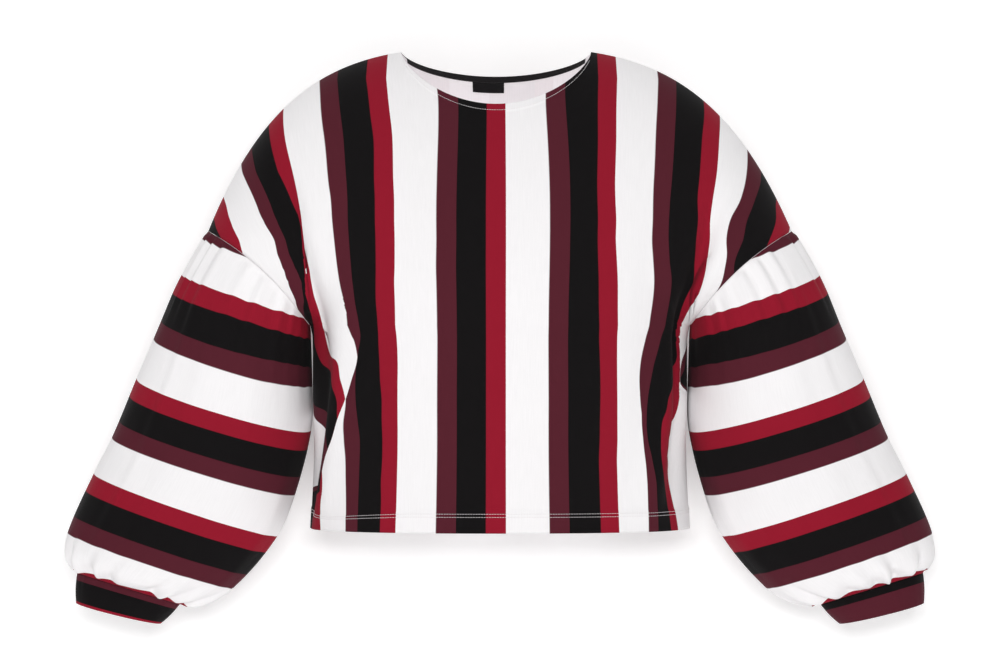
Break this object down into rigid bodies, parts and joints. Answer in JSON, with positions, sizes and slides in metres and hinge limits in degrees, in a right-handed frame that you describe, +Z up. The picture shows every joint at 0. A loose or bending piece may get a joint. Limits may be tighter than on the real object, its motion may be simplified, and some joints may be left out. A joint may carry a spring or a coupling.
{
  "type": "crop top",
  "caption": "Boxy cropped jersey top with vertical stripes, dropped shoulders and full balloon sleeves gathered into narrow cuffs, filled out in its worn form.",
  "frame": {"origin": "level with the high shoulder points, midway between the two shoulders", "axes": "+Z up, -Y the front, +X towards the wearer's left"},
  "size_m": [0.9177, 0.2472, 0.6],
  "materials": {
    "striped_jersey": "matt printed jersey with maroon, black, crimson and white stripes",
    "cuff_jersey": "matt jersey, doubled",
    "black_tape": "matt herringbone tape",
    "label_satin": "bare black woven label"
  },
  "bodies": {
    "root": {"front_panel": "striped_jersey", "back_panel": "striped_jersey", "sleeve_right": "striped_jersey", "sleeve_left": "striped_jersey", "cuff_right": "cuff_jersey", "cuff_left": "cuff_jersey", "back_neck_tape": "black_tape", "neck_label": "label_satin"}
  },
  "joints": []
}
